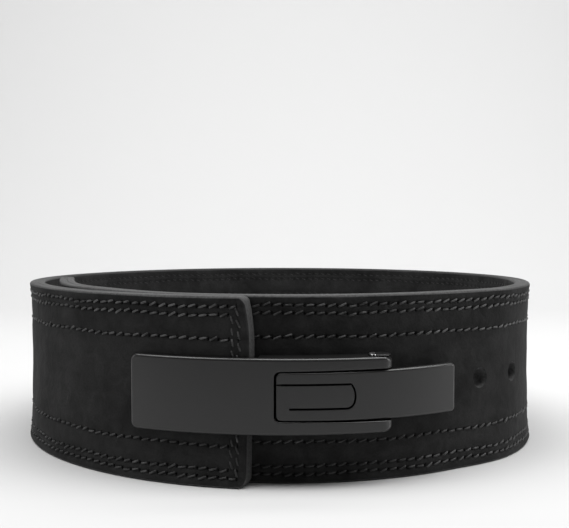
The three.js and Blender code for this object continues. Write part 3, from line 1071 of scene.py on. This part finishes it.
def addTongue(paint):
    low, high = span(tongue["width"])
    start, end = flatX(tongue["start"]), flatX(tongue["end"])
    corner = tongue["corner"]
    back = leverFace - tongue["thickness"]
    foot = loop["radius"] + buckle["gap"]
    spread = tongue["spread"]
    corners = [(end, high + spread), (start, high), (start, low), (end, low - spread)]
    outline = filleted([(x, z, corner) for x, z in corners])
    stations = roundStations(back, leverFace, tongue["backRound"], tongue["edgeRound"])
    share = [buckle["slotShare"] if p.x < start + corner + close else 1.0 for p in outline]
    plate = steppedPrism("tongue", outline, stations, frontPlace, shares=[share, share])
    slit = [(back - 1, 0, 0, 0)] + [(leverFace, rise, inset, 0) for rise, inset in tongue["slitEdge"]]
    combine(plate, "DIFFERENCE", [steppedPrism("slit", tabOutline(), slit, frontPlace)])
    top = back + tongue["sunk"]
    pin = flatX(buckle["pinAngle"])
    knuckle = math.radians(tongue["knuckleHalf"]) * leverFace
    knuckleFoot = pinOut - buckle["pinRadius"] - tongue["knuckleBelowPin"]
    legs = [
        (start + tongue["legStart"], start + tongue["legThickness"], foot),
        (end - tongue["legThickness"], end, foot),
        (pin - knuckle, pin + knuckle, knuckleFoot),
    ]
    parts = []
    for (left, right, bottom), inset in zip(legs, tongue["legInset"]):
        side = [(left, bottom), (right, bottom), (right, top), (left, top)]
        parts.append(prism("leg", side, low + inset, high - inset, topPlace))
    bossEnd = loop["radius"] - tongue["bossDepth"]
    for angle in screwAngles:
        out = Matrix.Translation((flatX(angle), 0, middle)) @ Matrix.Rotation(math.pi / 2, 4, "X")
        for radius, bottom in ((tongue["shoulderRadius"], foot), (tongue["bossRadius"], bossEnd)):
            parts.append(turnedSolid("boss", [(radius, bottom), (radius, top)], 36, out))
    combine(plate, "UNION", parts)
    boreForPin(plate, low, high)

    def pressed(angle, distance):
        drop = leverFace - tongueFace(angle)
        if distance >= back:
            return distance - drop
        if distance <= foot:
            return distance
        return foot + (distance - foot) * (back - drop - foot) / (back - foot)

    bend(plate, pressed)
    plate.name = "steel_tongue"
    return dress(plate, paint)


hingePin = {
    "headRadius": 6.0,
    "headThickness": 1.15,
    "seat": 0.25,  # gap under the head
    "setback": 0.6,  # the lower end lies this far inside the lever
    "chamfer": 0.3,
    "rimRound": 0.5,
    "rimHeight": 0.45,
    "flatTop": 0.55,  # share of the head's radius
}


def addPin(paint):
    low, high = span(buckle["width"])
    low, seat = low + hingePin["setback"], high + hingePin["seat"]
    radius, head = buckle["pinRadius"], hingePin["headRadius"]
    top = seat + hingePin["headThickness"]
    cut, rim, rise = hingePin["chamfer"], hingePin["rimRound"], hingePin["rimHeight"]
    profile = [(0.01, low), (radius - cut, low), (radius, low + cut), (radius, seat), (head - 0.2, seat)]
    for turn in quarterTurns(5):
        profile.append((head - rim + rim * math.cos(turn), seat + cut + rise * math.sin(turn)))
    profile += [(head * hingePin["flatTop"], top - 0.1), (0.01, top)]
    axis = Vector(frame["joints"][0]["pos_m"])
    matrix = Matrix.Translation((axis.x, axis.y, 0)) @ Matrix.Scale(mm, 4)
    return dress(smoothShade(turnedSolid("steel_hinge_pin", profile, 48, matrix)), paint)


screws = {
    "headRadius": 9.0,
    "headThickness": 1.5,
    "headRim": ((1.4, 0), (0.6, 0.15), (0.1, 0.6), (0, 1.0)),  # from the head's side, from its face
    "radius": 2.5,
    "slot": 1.6,
    "slotDepth": 0.7,
    "seat": 0.6,  # a flat head meets the curved leather at its rim
    "reach": 3.2,
    "chamfer": 0.4,
}


def addScrew(name, angle, paint):
    headOut = loop["radius"] - loop["thickness"] - screws["seat"]
    headIn = headOut - screws["headThickness"]
    head, shank = screws["headRadius"], screws["radius"]
    tip, cut = loop["radius"] + screws["reach"], screws["chamfer"]
    profile = [(head - inward, headIn + up) for inward, up in screws["headRim"]]
    profile += [(head - 0.1, headOut), (shank, headOut), (shank, tip - cut), (shank - cut, tip)]
    body = turnedSolid(name, profile, 48)
    half, deep = screws["slot"] / 2, screws["slotDepth"]
    outline = [(-head - 1, -half), (head + 1, -half), (head + 1, half), (-head - 1, half)]
    slot = prism("slot", outline, headIn - 1, headIn + deep, lambda a, b, c: (a, b, c))
    combine(body, "DIFFERENCE", [slot])
    body.data.transform(radialMatrix(angle))
    return dress(smoothShade(body), paint)


# Floor and light

studio = {
    "floor": "#bcbcbc",
    "fibres": 900.0,  # to the metre
    "front": -3.0,  # in metres, as the next four are
    "back": 1.5,
    "curve": 0.7,
    "height": 2.6,
    "half": 3.5,
    "air": 0.16,  # strength of the light from all round
}


def addBackdrop():
    profile = [(studio["front"], 0.0)]
    for turn in quarterTurns(24):
        y = studio["back"] - studio["curve"] + studio["curve"] * math.sin(turn)
        profile.append((y, studio["curve"] * (1 - math.cos(turn))))
    profile.append((studio["back"], studio["height"]))
    points = [(x, y, z) for y, z in profile for x in (-studio["half"], studio["half"])]
    faces = [(2 * k, 2 * k + 1, 2 * k + 3, 2 * k + 2) for k in range(len(profile) - 1)]
    obj = meshFromArrays("backdrop", points, faces)
    obj.data.polygons.foreach_set("use_smooth", [True] * len(faces))
    material, tree, here = newMaterial("matt white paper")
    fibre = addNode(tree, "TexNoise", {"Scale": studio["fibres"]}, {"Vector": here}).outputs["Fac"]
    settings = {"Base Color": linear(studio["floor"]), "Roughness": 0.9, "Specular IOR Level": 0.1}
    finishMaterial(tree, settings, {"Normal": bumped(tree, fibre, 0.1, 0.1)})
    dress(obj, material)


lights = [
    # name, place in metres, aimed at, width, height, power in watts
    ("top", (0.3, -0.22, 1.4), (0.3, -0.1, 0.05), 3.0, 0.8, 48.0),
    ("left", (-1.55, -0.1, 0.4), (0.0, 0.0, 0.05), 0.5, 0.5, 3.0),
    ("right", (1.55, 0.0, 0.4), (0.0, 0.0, 0.05), 0.5, 0.5, 4.4),
    ("backdrop", (0.0, 0.6, 1.6), (0.0, 1.5, 0.5), 2.4, 0.5, 26.0),
]


def addLights():
    for name, place, target, width, height, power in lights:
        data = bpy.data.lights.new(name, "AREA")
        data.shape = "RECTANGLE"
        data.size = width
        data.size_y = height
        data.energy = power
        lamp = addObject(name, data)
        lamp.location = place
        aim = Vector(target) - Vector(place)
        lamp.rotation_euler = aim.to_track_quat("-Z", "Y").to_euler()
    world = bpy.data.worlds.new("studio air")
    world.use_nodes = True
    background = world.node_tree.nodes["Background"]
    background.inputs["Color"].default_value = linear("#ffffff")
    background.inputs["Strength"].default_value = studio["air"]
    scene.world = world


# The scene

addCamera()
addBackdrop()
addLights()
print("camera, backdrop and lights are in place")

suede = blackSuede()
# the last number is the painted shade on the edges at the back of the loop
edgeDye = dyedEdge("sanded and dyed leather edge", "#292929", "#464646", 0.3)
holeWall = dyedEdge("punched leather, rubbed smooth", "#1e1e1e", "#3a3a3a")
thread = bondedThread("bonded nylon thread", "#161616", "#484848", 0.55)
innerThreadLook = bondedThread("bonded nylon thread, rubbed dark by wear", "#0e0e0e", "#161616", 0.85)
paint = powderCoat("satin powder coat on pressed steel", "#131313", 0.38)
pinPaint = powderCoat("worn powder coat on a steel rivet", "#181818", 0.32, chipped=True)

strapPiece = addStrap(suede, edgeDye, holeWall)
print("strap", len(strapPiece.data.polygons), "faces")
outerThread = addThread("thread_outside", 0, thread)
innerThread = addThread("thread_inside", 1, innerThreadLook)
print("stitches", len(outerThread.data.polygons) + len(innerThread.data.polygons), "faces")
leverPiece = addLever(paint)
print("lever", len(leverPiece.data.polygons), "faces")
tonguePiece = addTongue(paint)
print("tongue", len(tonguePiece.data.polygons), "faces")
pinPiece = addPin(pinPaint)
screwPieces = [addScrew(f"steel_screw_{k + 1}", angle, paint) for k, angle in enumerate(screwAngles)]
print("hinge pin and screws")

for piece, node, slot in (
    (strapPiece, "strap", "black_suede"),
    (leverPiece, "lever_plate", "black_steel"),
    (tonguePiece, "base_plate", "black_steel"),
    (pinPiece, "hinge_pin", "black_steel"),
    (screwPieces[0], "screw_1", "black_steel"),
    (screwPieces[1], "screw_2", "black_steel"),
):
    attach(piece, "lever" if node == "lever_plate" else "belt")
    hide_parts(node)
for piece in (outerThread, innerThread):
    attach(piece, "belt")
